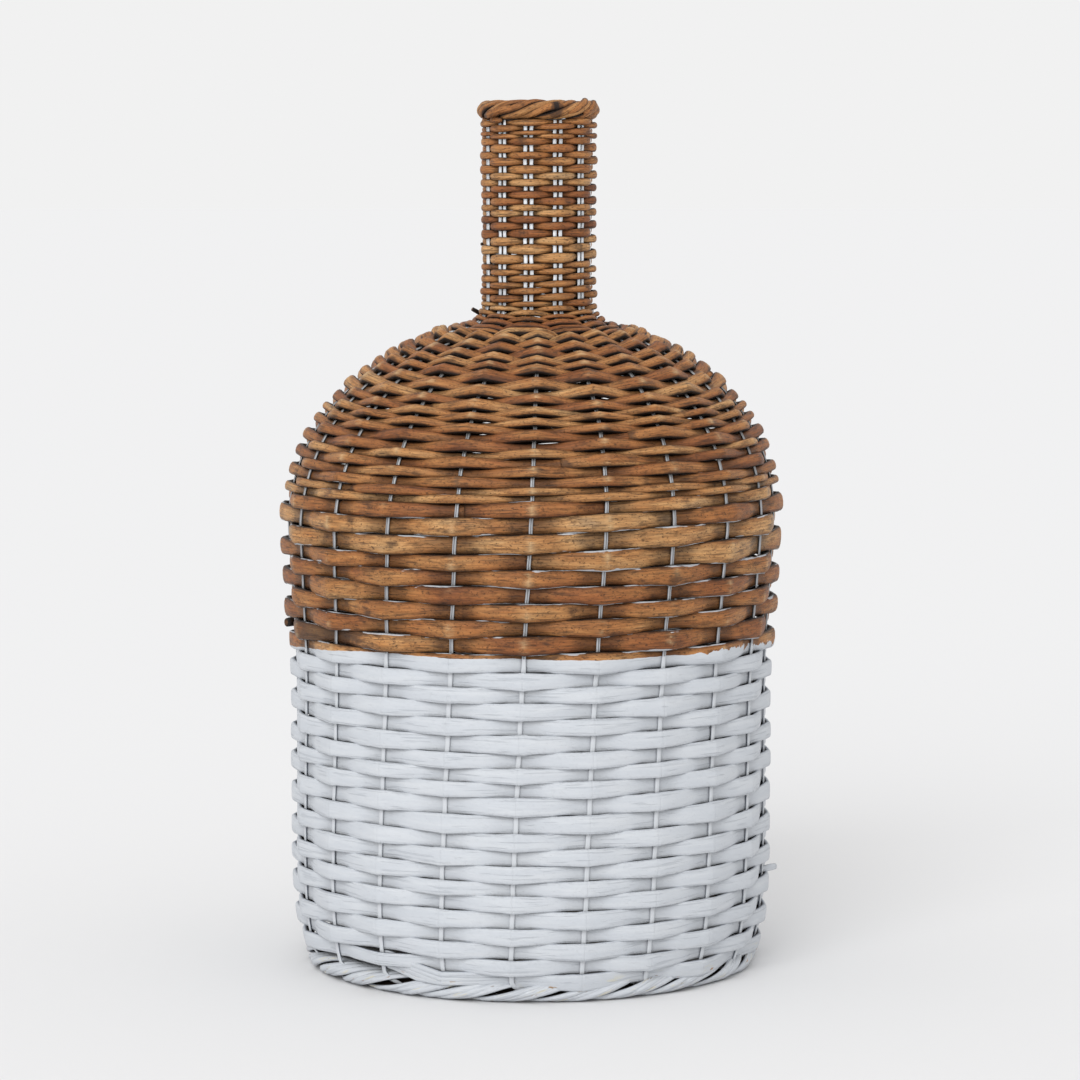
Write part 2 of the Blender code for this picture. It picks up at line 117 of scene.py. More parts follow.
# Crossings that one rod passes, at least and at most
ROD_CROSSINGS = ((17, 27), (17, 27), (21, 34), (19, 37))
ROD_SIDES = (16, 14, 12, 12)
WIDTH_SPREADS = (0.14, 0.17, 0.32, 0.42)
ROD_TAPERS = (0.08, 0.1, 0.18, 0.22)
BEND_MARK_SHARES = (1.0, 1.0, 1.0, 0.4)
BEND_MARK_REACH = 4.5 * MM
CROSSING_SPREAD = 0.08
WAVER_SHARE = 0.07
WAVER_LENGTHS = (90 * MM, 53 * MM, 24 * MM)
# Knots: where the first one may be, the gaps after it, its length and its swelling
FIRST_KNOTS = (10 * MM, 60 * MM)
KNOT_GAPS = (45 * MM, 160 * MM)
KNOT_LENGTH = 2 * MM
KNOT_SWELL_SHARE = 0.07
# Strength of a knot that looks stained dark, as cut ends do too
DARK_KNOT = 3.0
# The spiral begins with a bundle of thin rods, which comes down from behind the first turn
LEAD_CROSSINGS = 2
LEAD_LENGTHS = (8 * MM, 0.5 * MM)
LEAD_RODS = 4
LEAD_ROD_SIZE = 3.1 * MM
LEAD_ROW_SHARE = 1.1
LEAD_SPACING = 2.8 * MM
# One rod is stained dark, low at the front left: its place on the spiral, and the stain's reach
STAIN_TURNS = 20.84
STAIN_SPREAD_TURNS = 0.045
# How much of a row's rise the next one keeps, the smoothing, and the turns over which it fades
STACK_MEMORY = 0.8
STACK_SMOOTHING = 1.2
STACK_FADE_TURNS = 2
STACK_FILL = 0.65
ROD_ROOM = 0.15 * MM
# Phases of a rod's points from one stake to the next, and over a pair of wires before them
SINGLE_PHASES = (0.0, 0.06, 0.14, 0.26, 0.42, 0.58, 0.74, 0.86, 0.94)
GROUP_PHASES = (0.0, 0.12, 0.28, 0.5, 0.72, 0.88)
PAIR_PHASES = (-1.0, -0.5)

# Rod ends that stick out: band, angle and height, stretch that shows, reach and share of thickness
ROD_ENDS = (
    ("natural", -92 * DEG, 204 * MM, 16 * MM, 2.6 * MM, 1.0),
    ("white", 88 * DEG, 57 * MM, 18 * MM, 4.6 * MM, 1.0),
    ("white", 150 * DEG, 120 * MM, 15 * MM, 2.5 * MM, 0.9),
    ("natural", 140 * DEG, 246 * MM, -15 * MM, 2.5 * MM, 0.9),
    ("shoulder", -97 * DEG, 388 * MM, 9 * MM, 5.5 * MM, 0.5),
    ("shoulder", 75 * DEG, 352 * MM, 9 * MM, 2.5 * MM, 0.7),
    ("neck", -95 * DEG, 431 * MM, 7 * MM, 2 * MM, 0.5),
)
END_STEPS = 8
END_LEAVING_POWER = 1.5
END_WIDTH_SHARE = 1.15

# Rods that begin with a butt end outside: stake before it, share of the way to the next, height
BUTT_ENDS = (
    (1, 0.43, 325 * MM),
    (0, 0.38, 309.5 * MM),
    (-2, 0.17, 340.5 * MM),
    (-3, 0.25, 289.5 * MM),
    (-1, 0.1, 288.5 * MM),
    (-4, 0.33, 242 * MM),
    (5, 0.3, 300 * MM),
    (7, 0.4, 236 * MM),
    (9, 0.35, 318 * MM),
    (11, 0.25, 262 * MM),
    (13, 0.4, 330 * MM),
    (14, 0.3, 224 * MM),
)
BUTT_GROWTH_SHARE = 1.14
BUTT_LIFT = 0.9 * MM

# Borders: three strands laid round each other in a ring, each of thin rods side by side. A strand's
# rods drift together and each has its own wander. These and the swelling change along the ring, and
# the waver along the rod. The table has one value for the rim and one for the foot
BORDER_STRANDS = 3
BORDERS = dict(
    name=("rim", "foot"),
    piece=("rim_rod", "foot_ribbon"),
    rods=(2, 3),
    rod_radius=(2.15 * MM, 1.75 * MM),
    rod_lay=(47 * DEG, 26 * DEG),
    twists=(3, 8),
    steps=(102, 208),
    start_spread=(0.4, 0.6),
    ring_radius=(NECK_RADIUS, 128 * MM),
    orbits=((3.75 * MM, 3.75 * MM), (6.2 * MM, 4.7 * MM)),
    wander=(12 * DEG, 14 * DEG),
    drift_lengths=((TURN / 3, TURN / 7), (TURN / 5, TURN / 9)),
    own_lengths=((TURN / 4, TURN / 9), (TURN / 4, TURN / 11)),
    own_share=(1.0, 0.5),
    swell_lengths=((TURN / 5, TURN / 8), ()),
    swell_share=(0.12, 0.0),
    size_shares=((0.9, 1.08), (0.85, 1.2)),
    width_share=(1.06, 1.15),
    waver_lengths=((70 * MM, 33 * MM), (110 * MM, 41 * MM)),
    waver_share=(0.12, 0.16),
    sides=(12, 8),
    tints=((0.1, 0.9), (0.0, 1.0)),
    # facing lifts the side value, so that less painted shade falls on the strands' sides
    facing=(0.08, 0.15),
    lumps=(0.07, 0.05),
)
RIM, FOOT = (SimpleNamespace(**dict(zip(BORDERS, values))) for values in zip(*BORDERS.values()))
RIM_TOP_HEIGHT = 516.3 * MM
RIM.ring_height = RIM_TOP_HEIGHT - RIM.orbits[1] - RIM.rod_radius
FOOT_CLEARANCE = 0.25 * MM
FOOT.ring_height = FOOT.orbits[1] + FOOT.rod_radius + FOOT_CLEARANCE
# Least height of a foot rod's middle, as a share of its size
FLOOR_SHARE = 0.64
RIM_KNOTS = (20 * MM, 180 * MM)
RIM_KNOT_LENGTH = 3 * MM
# The black knot at the front of the rim
RIM_KNOT_ANGLE = 17 * DEG
RIM_KNOT_SPREAD = 4 * DEG
RIM_KNOT_STRENGTH = 8
RIM_KNOT_SWELL_SHARE = 0.02
# Rod ends on the rim: angle and lay where each leaves the border, and where it ends
RIM_ENDS = DEG * np.array(
    [(30, -25, 58, 72), (50, -30, 72, 50), (-28, 15, -60, -38), (150, -20, 178, 60)]
)
RIM_END_REACH_SHARE = 1.5
RIM_END_SIZE = 1.8 * RIM.rod_radius
RIM_END_WIDTH = 1.1 * RIM_END_SIZE
END_TINTS = (0.3, 0.7)

# Base
STICKS_PER_LAYER = 3
BASE_ROD_RADIUS = 2.5 * MM
STICK_SPACING = 7 * MM
STICK_END_RADIUS = 128 * MM
STICK_CROSSING_LENGTH = 11 * MM
STICK_LEVEL_RADIUS = 33 * MM
STICK_CUTS = 4
BASE_WEAVERS = 2
BASE_START_RADIUS = 36 * MM
BASE_END_RADIUS = 108 * MM
BASE_ROWS = 11
BASE_STEPS = 8
BASE_SIDES = 10

# Any tube's own waviness, and the length from which its place in the wood's grain is drawn
LUMP_LENGTHS = (31 * MM, 17 * MM, 9 * MM)
WAVE_SIZES = (0.5, 1.0)
GRAIN_LENGTH = 5

# Camera, from the photograph
CAMERA_DISTANCE = 2.34
CAMERA_HEIGHT = 478 * MM
CAMERA_SIDE = 5.4 * MM
AIM_HEIGHT = 254 * MM
LENS = 130.6

# Floor and light
FLOOR_SIZE = 80
FLOOR_COLOUR = (0.783, 0.783, 0.788)
FLOOR_ROUGHNESS = 0.9
SKY_COLOUR = (1.0, 1.0, 1.0, 1.0)
SKY_STRENGTH = 0.88
KEY_FROM = (-0.32, -1.0, 0.62)
KEY_SIZE_ANGLE = 40 * DEG
KEY_STRENGTH = 1.5

# Colours of willow, along the scale of its hue
WILLOW_COLOURS = (
    (0.0, (0.13, 0.043, 0.015)),
    (0.2, (0.25, 0.086, 0.025)),
    (0.42, (0.33, 0.133, 0.04)),
    (0.62, (0.39, 0.182, 0.062)),
    (0.82, (0.49, 0.27, 0.11)),
    (1.0, (0.3, 0.19, 0.1)),
)
BASE_COLOURS = ((0.2, (0.20, 0.12, 0.06)), (0.8, (0.52, 0.38, 0.22)))
# The wires are near white in the neck, a painted reflection of the white surroundings, dull on the
# shoulder and half bright below it
STEEL_AND_REFLECTION_COLOURS = (
    (0.0, (0.47, 0.48, 0.5)),
    (0.25, (0.34, 0.34, 0.34)),
    (0.75, (0.36, 0.36, 0.36)),
    (1.0, (0.92, 0.94, 0.97)),
)
# Painted dark reflection down the middle of a bare wire
STEEL_DARK_REFLECTION = (0.08, 0.08, 0.09)
# Dark brown of bark stains, also used as painted shade where a rod dives behind a stake
BARK_STAIN_AND_SHADE = (0.05, 0.022, 0.01)
# Near black: the real stain of dark knots and cut ends, and painted shade with some grime on the sides
# and backs of rods and wires
DARK_STAIN_AND_SHADE = (0.01, 0.007, 0.006)
BARE_WOOD = (0.66, 0.44, 0.23)
PAINT = (0.588, 0.611, 0.641)
PAINT_SHADE = (0.48, 0.51, 0.555)
# Blue grey painted shade on white paint, at the rods' sides and in the crevices
PAINT_CREVICE_SHADE = (0.19, 0.215, 0.26)
PAINT_LINES = (0.36, 0.385, 0.42)
PALE_WILLOW = (0.64, 0.58, 0.38)
WILLOW_GLOSS = 0.3
# The rods of the neck are smeared with paint here
NECK_SMEAR = (-12.3 * MM, -34 * MM, 450 * MM)

# Patterns: how often each changes along the grain and across it in a metre, its detail and roughness
WILLOW_PATTERNS = {
    "patches": (26, 120, 3),
    "fibres": (70, 1700, 4, 0.65),
    "specks": (600, 1700, 3, 0.6),
    "blots": (85, 330, 5, 0.65),
    "veins": (45, 620, 3, 0.6),
    "bark": (75, 250, 4, 0.7),
    "cracks": (50, 1250, 2, 0.5),
    "rare": (19, 30, 1),
    "smears": (42, 230, 3),
    "chips": (120, 520, 2, 0.5),
    "brushing": (30, 700, 3),
    "lines": (24, 1400, 2, 0.5),
    "wear": (60, 500, 3),
}
WIRE_PATTERNS = {"dirt": (120, 900, 3)}
BASE_PATTERNS = {"fibres": (60, 1500, 4, 0.65)}
# Patterns that don't follow the grain: how often each changes in a metre, and its detail
EVEN_PATTERNS = {"wobble": (9, 2), "fray": (160, 2), "spray": (45, 3)}
# Masks: the value at which each is nothing, the one at which it is full, and its strength if not 1
MASKS = {
    "bark": (0.5, 0.68),
    "neck": (380 * MM, 420 * MM),
    "cracks": (0.4, 0.33, 0.6),
    "stain": (0.55, 0.75, 0.75),
    "knot": (3.4, 4.4, 0.9),
    "specks": (0.57, 0.66, 0.75),
    "outer face": (0.85, 0.45),
    "torn": (0.4, 0.58),
    "rare": (0.42, 0.54),
    # Painted shade on a rod where it dives behind a stake
    "dive": (-0.2, -1.0, 0.48),
    # Painted shade, with some grime, on the sides and backs of rods, which face the dark inside
    "shaded and grimy sides": (0.58, 0.16, 0.96),
    "low": (360 * MM, 240 * MM),
    "near smear": (9 * MM, 3 * MM),
    "smear": (0.835, 0.862, 0.85),
    "smeared side": (0.05, 0.3),
    "painted side": (-0.4, 0.0),
    "foot": (17 * MM, 11 * MM),
    "chips": (0.7, 0.73, 0.85),
    "brushing": (0.75, 0.35, 0.5),
    # Painted shade on the white paint towards a rod's sides and back
    "paint in shade": (0.36, -0.1, 0.75),
    "lines": (0.4, 0.32, 0.4),
    "wear": (0.59, 0.68, 0.5),
    "spray": (0.38, 0.62),
    "paint": (-0.15 * MM, 0.15 * MM),
    # The paint line dips by this much towards the back, and is torn by this much at the right
    "dip": (-120 * MM, 40 * MM, 9 * MM),
    "tear": (85 * MM, 120 * MM, 12 * MM),
    # The wire's groove is bumped in and also darkened along the middle of its outer face, below the
    # neck, as a painted dark reflection
    "groove": (0.26, 0.08),
    "grooved side": (0.0, 0.4),
    "grooved height": (420 * MM, 370 * MM),
    "steel": (270 * MM, 420 * MM),
    # Painted shade on the sides and back of a wire
    "wire's shaded side": (0.15, -0.25),
}
# Sums: what each starts from, and the share of each value that it adds
SUMS = {
    # The edge share darkens the rods and turns them redder at their top and bottom edges: painted shade
    # where the round rod turns away from the light
    "hue": (-0.535, {"patches": 1.15, "tint": 0.5, "veins": 0.4, "edge": -0.16}),
    "brightness": (-0.04, {"fibres": 2.1, "edge": -0.4, "bark": -0.46, "neck": 0.1}),
    "stain": (0, {"blots": 1, "edge": 0.11, "knot": 0.13}),
    "torn": (0.05, {"fibres": 1.1}),
    "smear": (-0.2, {"smears": 1, "edge": 0.3, "low": 0.27, "near smear": 0.5}),
    "roughness": (0.38, {"fibres": 0.3, "cover": 0.06}),
    "grain relief": (0, {"blots": 0.6, "fibres": 0.8, "specks": -0.3}),
    "other relief": (0, {"cover": 0.25, "crease": -0.35, "lines": -0.6}),
    "paint line": (PAINT_HEIGHT - 3 * MM, {"wobble": 6 * MM, "fray": 1.2 * MM, "dip": -1}),
    "steel brightness": (1.35, {"dirt": -0.8}),
    "steel shine": (0.3, {"paint": -0.3}),
    "steel roughness": (0.3, {"dirt": 0.2}),
    "steel relief": (0, {"dirt": 0.15, "groove": -1}),
    "base roughness": (0.45, {"fibres": 0.3}),
}
# How close to a rod's top and bottom the edge value, and so its painted shade, stays
EDGE_POWER = 2.5
TORN_POWER = 5
CREASE_POWER = 24
# Share of the grain's relief that paint fills, and of a wire's groove with its painted dark reflection
# line
FILLED_SHARE = 0.3
FILLED_GROOVE_AND_REFLECTION_SHARE = 0.85
FRAY_LEVEL = 0.35
# How dark the groove's painted line is: a painted dark reflection in bare steel, and painted shade in
# paint
STEEL_DARK_REFLECTION_SHARE = 0.8
PAINT_GROOVE_SHADE_SHARE = 0.5
WOOD_RELIEF = 0.5 * MM
FINE_RELIEF = 0.3 * MM


# Wall


def dome_point(angle):
    power = 2 / DOME_FULLNESS
    radius = BELLY_RADIUS * math.cos(angle) ** power
    return radius, BELLY_HEIGHT + DOME_RISE * math.sin(angle) ** power


def dome_normal(angle):
    power = 2 - 2 / DOME_FULLNESS
    across = math.cos(angle) ** power / BELLY_RADIUS
    up = math.sin(angle) ** power / DOME_RISE
    size = math.hypot(across, up)
    return across / size, up / size


def fillet_touch_angle():
    low, high = 0.0, math.pi / 2
    for _ in range(HALVINGS):
        middle = (low + high) / 2
        centre = dome_point(middle)[0] + NECK_FILLET_RADIUS * dome_normal(middle)[0]
        if centre > NECK_RADIUS + NECK_FILLET_RADIUS:
            low = middle
        else:
            high = middle
    return low


def wall_outline():
    """(radius, height) of the wall's points, from the foot to the rim."""
    touch = fillet_touch_angle()
    radius, height = dome_point(touch)
    across, up = dome_normal(touch)
    centre = (radius + NECK_FILLET_RADIUS * across, height + NECK_FILLET_RADIUS * up)
    outline = list(zip(WALL_RADII, WALL_HEIGHTS))
    outline += [dome_point(touch * step / DOME_STEPS) for step in range(DOME_STEPS + 1)]
    start = math.atan2(-up, -across)
    turn = -(math.pi + start)
    for step in range(1, FILLET_STEPS + 1):
        angle = start + turn * step / FILLET_STEPS
        point_radius = centre[0] + NECK_FILLET_RADIUS * math.cos(angle)
        outline.append((point_radius, centre[1] + NECK_FILLET_RADIUS * math.sin(angle)))
    outline.append((NECK_RADIUS, WALL_TOP_HEIGHT))
    return np.array(outline)


def cut_corners(points, rounds):
    """Rounds a polyline: each corner gives way to two points, a quarter along its sides."""
    for _ in range(rounds):
        first = points[:-1] * 3 / 4 + points[1:] / 4
        second = points[:-1] / 4 + points[1:] * 3 / 4
        middle = np.stack([first, second], axis=1).reshape(-1, points.shape[1])
        points = np.concatenate([points[:1], middle, points[-1:]])
    return points


class Wall:
    """The wall's outline, looked up by the length along it."""

    def __init__(self):
        outline = cut_corners(wall_outline(), CORNER_CUTS)
        self.radii, self.heights = outline.T
        steps = np.hypot(np.diff(self.radii), np.diff(self.heights))
        self.lengths = np.concatenate([[0.0], np.cumsum(steps)])
        self.slopes = np.arctan2(np.gradient(self.heights), np.gradient(self.radii))
        self.total = self.lengths[-1]
        pairing = (self.heights > BELLY_HEIGHT) & (self.radii < PAIRING_START_RADIUS)
        in_neck = self.radii < NECK_RADIUS + WIRE_HALF_WIDTH / 4
        self.pairing_start = self.lengths[pairing][0]
        self.neck_start = self.lengths[in_neck][0]

    def at(self, length):
        """Radius, height and slope."""
        rows = (self.radii, self.heights, self.slopes)
        return [np.interp(length, self.lengths, row) for row in rows]

    def length_at_height(self, height):
        return float(np.interp(height, self.heights, self.lengths))


WALL = Wall()


def neck_shift(height):
    return NECK_OFFSET * np.clip((height - BELLY_HEIGHT) / DOME_RISE, 0, 1)


def place(angle, radius, height):
    """Points at an angle round the vase: 0 is the front, and it grows to the right."""
    x = radius * np.sin(angle) + neck_shift(height)
    y = -radius * np.cos(angle)
    return np.stack(np.broadcast_arrays(x, y, height), axis=-1)


def on_wall(angle, length, offset):
    """Points at an offset from the wall, and the wall's outward direction there."""
    radius, height, slope = WALL.at(length)
    outwards = np.stack(
        [np.sin(slope) * np.sin(angle), -np.sin(slope) * np.cos(angle), -np.cos(slope)], axis=-1
    )
    return place(angle, radius, height) + outwards * np.asarray(offset)[..., None], outwards


# Stakes


def smooth_step(value, start, end):
    share = np.clip((value - start) / (end - start), 0, 1)
    return share * share * (3 - 2 * share)


def neck_group(stake):
    """(group, side) of a stake in the neck: side is -1 or 1 in a pair and 0 for the single one."""
    order = (stake + 1) % STAKES
    single = 2 * PAIRS_BEFORE_SINGLE
    if order == single:
        return PAIRS_BEFORE_SINGLE, 0
    order += order > single
    return order // 2, 1 if order % 2 else -1


def stake_angle(stake, length):
    radius, height, _ = WALL.at(length)
    group, side = neck_group(stake)
    neck = NECK_FIRST_GROUP_ANGLE + group * TURN / NECK_GROUPS + side * PAIR_HALF_SPACING / radius
    order = (stake + 1) % STAKES - 1
    risen = np.clip(height / BELLY_HEIGHT, 0, 1) ** STAKE_LEAN_POWER
    body = order * TURN / STAKES - STAKE_LEAN_ANGLE * (1 - risen)
    share = smooth_step(length, WALL.pairing_start, WALL.neck_start)
    return body + share * (neck - body)


def group_span(group, length):
    """Middle angle and half the angle between the wires of a neck group."""
    angles = [stake_angle(s, length) for s in range(STAKES) if neck_group(s)[0] == group]
    return (max(angles) + min(angles)) / 2, (max(angles) - min(angles)) / 2


# Weave


class Weave:
    """Each place where the climbing spiral passes a stake, or a group of them in the neck."""

    def __init__(self, chance):
        heights = (WEAVE_START_HEIGHT, PAINT_HEIGHT, THICK_ROD_TOP_HEIGHT)
        lower = [WALL.length_at_height(height) for height in heights]
        self.starts = (*lower, WALL.pairing_start, WALL.total)
        self.knots = [0]
        for pitch, low, high in zip(PITCHES, self.starts, self.starts[1:]):
            self.knots.append(self.knots[-1] + round((high - low) / pitch))
        self.list_crossings()
        self.cut_rods(chance)
        self.stack_rows(chance)
        self.find_angles()

    def list_crossings(self):
        body_turns = self.knots[-2]
        body = LEAD_CROSSINGS + STAKES * body_turns - 1
        self.count = body + NECK_GROUPS * (self.knots[-1] - body_turns)
        index = np.arange(self.count)
        self.in_neck = index >= body
        neck_index = index - body
        order = index - LEAD_CROSSINGS
        self.member = np.where(self.in_neck, neck_index % NECK_GROUPS, order % STAKES)
        self.turn = np.where(self.in_neck, body_turns + neck_index // NECK_GROUPS, order // STAKES)
        around = np.where(self.in_neck, NECK_GROUPS, STAKES)
        self.turns = self.turn + self.member / around
        self.nominal = np.interp(self.turns, self.knots, self.starts)
        self.nominal[:LEAD_CROSSINGS] += LEAD_LENGTHS
        self.band = np.clip(np.searchsorted(self.knots, self.turns, side="right") - 1, 0, 3)
        self.outside = order % 2 == 1
        self.below = index - around
        half = 1 / 2
        above = np.interp(self.turns + half, self.knots, self.starts)
        below = np.interp(self.turns - half, self.knots, self.starts)
        covered = np.minimum(self.turns + half, self.knots[-1]) - np.maximum(self.turns - half, 0)
        self.pitch = (above - below) / np.maximum(covered, half)
        self.dive = self.banded(DIVE_POWERS)
        self.bend = self.banded(BEND_SHARES)

    def banded(self, table):
        """A value at each crossing, from a band's value at its foot and the one higher up."""
        knots = np.array(self.knots)
        rows = knots[self.band + 1] - knots[self.band]
        risen = np.clip((self.turns - knots[self.band]) / (CHANGING_SHARE * rows), 0, 1)
        low, high = np.array(table)[self.band].T
        return low + risen * (high - low)

    def cut_rods(self, chance):
        """Cuts the spiral where it passes behind a stake, so that the ends don't show."""
        self.rods = []
        start = LEAD_CROSSINGS
        while start < self.count - 1:
            low, high = ROD_CROSSINGS[self.band[start]]
            end = start + 2 * int(chance.integers(low // 2, high // 2 + 1))
            if end > self.count - low // 2:
                end = self.count - 1
            limit = np.flatnonzero(self.band != self.band[start])
            limit = limit[limit > start]
            if len(limit) and limit[0] < end:
                end = int(limit[0]) + int(self.outside[limit[0]])
            self.rods.append((start, end))
            start = end

    def stack_rows(self, chance):
        """Lays each row on the one below. Thick rods push the rows above them up a little."""
        size = np.ones(self.count)
        size[:LEAD_CROSSINGS] = LEAD_ROW_SHARE
        for start, end in self.rods:
            band = self.band[start]
            width = 1 + chance.uniform(-WIDTH_SPREADS[band], WIDTH_SPREADS[band])
            taper = np.linspace(ROD_TAPERS[band], -ROD_TAPERS[band], end - start + 1)
            size[start : end + 1] = width + taper
        size *= 1 + CROSSING_SPREAD * chance.standard_normal(self.count)
        factor = np.where(self.outside, self.banded(OUTSIDE_SHARES), self.banded(INSIDE_SHARES))
        own = self.pitch * size
        shift = np.zeros(self.count)
        for index in range(self.count):
            below = self.below[index]
            if below < 0 or self.in_neck[index] != self.in_neck[below]:
                continue
            room = self.nominal[index] - self.nominal[below]
            shift[index] = STACK_MEMORY * shift[below] + (own[index] + own[below]) / 2 - room
        shift = smooth_row(shift, STACK_SMOOTHING)
        fade = np.minimum(self.turns - self.knots[0], self.knots[-1] - self.turns)
        fade = np.minimum(fade, np.abs(self.turns - self.knots[-2]))
        self.length = self.nominal + shift * np.clip(fade / STACK_FADE_TURNS, 0, 1)
        room = self.pitch.copy()
        for index in range(self.count):
            below = self.below[index]
            above = index + (index - below)
            if below >= 0 and above < self.count and self.in_neck[below] == self.in_neck[above]:
                room[index] = (self.length[above] - self.length[below]) / 2
        self.width = (STACK_FILL * room + (1 - STACK_FILL) * own) * factor
        self.length = np.clip(self.length, 0, WALL.total - self.width / 2)

    def find_angles(self):
        self.angle = TURN * self.turn
        self.spread = np.zeros(self.count)
        for index, member in enumerate(self.member):
            length = self.length[index]
            if self.in_neck[index]:
                angle, self.spread[index] = group_span(member, length)
            else:
                angle = stake_angle(member, length) + TURN * (member == STAKES - 1)
            self.angle[index] += angle


def smooth_row(values, reach):
    """A running mean with a bell-shaped window."""
    width = int(3 * reach) + 1
    window = np.exp(-((np.arange(-width, width + 1) / reach) ** 2) / 2)
    padded = np.pad(values, width, mode="edge")
    return np.convolve(padded, window / window.sum(), mode="valid")


# Meshes


def bell(value, reach):
    """1 at 0, and next to nothing at twice the reach."""
    return np.exp(-((value / reach) ** 2))


def unit(vectors):
    return vectors / np.linalg.norm(vectors, axis=-1, keepdims=True)


def lengths_along(points):
    steps = np.linalg.norm(np.diff(points, axis=0), axis=1)
    return np.concatenate([[0.0], np.cumsum(steps)])


class Wave:
    """Smooth seeded variation along a rod: a sum of a few sines."""

    def __init__(self, chance, lengths):
        self.lengths = lengths
        self.phases = chance.uniform(0, TURN, len(lengths))
        self.sizes = chance.uniform(*WAVE_SIZES, len(lengths))

    def at(self, along, around=0.0):
        total = 0.0
        for index, length in enumerate(self.lengths):
            phase = TURN * along / length + (index + 1) * around + self.phases[index]
            total = total + self.sizes[index] * np.sin(phase)
        return total / max(len(self.lengths), 1)


class MeshParts:
    """Gathers tubes into one mesh, with what the materials need to know of each point."""

    def __init__(self):
        self.points = []
        self.faces = []
        self.details = {"grain": [], "marks": [], "side": []}
        self.count = 0

    def add(self, points, face_tables, **details):
        self.points.append(points)
        for table in face_tables:
            self.faces += (table + self.count).tolist()
        for key, rows in details.items():
            self.details[key].append(rows)
        self.count += len(points)

    def finish(self, name, material, slot, nodes):
        mesh = bpy.data.meshes.new(name)
        mesh.from_pydata(np.concatenate(self.points).tolist(), [], self.faces)
        for key, rows in self.details.items():
            attribute = mesh.attributes.new(key, "FLOAT_VECTOR", "POINT")
            attribute.data.foreach_set("vector", np.concatenate(rows).astype(np.float32).ravel())
        mesh.shade_smooth()
        mesh.materials.append(material)
        piece = bpy.data.objects.new(name, mesh)
        bpy.context.scene.collection.objects.link(piece)
        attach(piece, "root")
        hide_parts(*nodes)


def tube_faces(rows, sides):
    """Four-sided faces between the rings, and three-sided ones round the middles of the caps."""
    rings = np.arange(rows * sides).reshape(rows, sides)
    after = np.roll(rings, -1, axis=1)
    walls = np.stack([rings[:-1], rings[1:], after[1:], after[:-1]], axis=-1)
    first = np.full(sides, rows * sides)
    caps = np.array([[first, rings[0], after[0]], [first + 1, after[-1], rings[-1]]])
    return walls.reshape(-1, 4), caps.transpose(2, 0, 1).reshape(-1, 3)


def sweep(
    parts, path, thickness, width, chance, sides, flatness=2.0, lumps=0.03, end_share=0.75,
    tint=0.5, bend=0.0, knot=0.0, depth=0.0, facing=0.0,
):
    """Adds a tube along a path of points and outward directions. thickness and width are whole sizes."""
    points, outwards = path
    rows = len(points)
    tangents = unit(np.gradient(points, axis=0))
    outwards = unit(outwards - (outwards * tangents).sum(axis=1, keepdims=True) * tangents)
    upwards = np.cross(outwards, tangents)
    along = lengths_along(points)
    around = np.arange(sides) * TURN / sides
    cosine, sine = np.cos(around), np.sin(around)
    power = 2 / flatness
    across = np.sign(cosine) * np.abs(cosine) ** power
    up = np.sign(sine) * np.abs(sine) ** power
    lump = 1 + lumps * Wave(chance, LUMP_LENGTHS).at(along[:, None], around[None, :])
    ends = np.ones(rows)
    ends[0] = ends[-1] = end_share
    half_thickness = (thickness / 2 * ends)[:, None] * lump * across[None, :]
    half_width = (width / 2 * ends)[:, None] * lump * up[None, :]
    rings = points[:, None, :] + half_thickness[..., None] * outwards[:, None, :]
    rings = rings + half_width[..., None] * upwards[:, None, :]
    start = chance.uniform(0, GRAIN_LENGTH)

    def vectors(*columns):
        """One for each point, from three columns, and one for the middle of each cap."""
        columns = [column * np.ones((rows, sides)) for column in columns]
        values = np.stack(columns, axis=-1)
        return np.concatenate([values.reshape(-1, 3), values[:1, 0], values[-1:, 0]])

    run, radius, bend, knot, depth = (
        np.reshape(value, (-1, 1))
        for value in (start + along, (thickness + width) / 4, bend, knot, depth)
    )
    parts.add(
        np.concatenate([rings.reshape(-1, 3), points[:1], points[-1:]]),
        tube_faces(rows, sides),
        grain=vectors(run, radius * cosine, radius * sine),
        marks=vectors(tint, bend, knot),
        side=vectors(cosine + facing, sine, depth),
    )


# Rods of the wall


def rod_samples(weave, start, end):
    """Index of the crossing before each point of a rod, and the phase from it to the next crossing."""
    before = []
    phases = []
    for index in range(start, end):
        own = GROUP_PHASES if weave.in_neck[index] else SINGLE_PHASES
        if weave.spread[index] > 0:
            own = PAIR_PHASES + own
        before += [index] * len(own)
        phases += own
    return np.array(before + [end]), np.array(phases + [0.0])


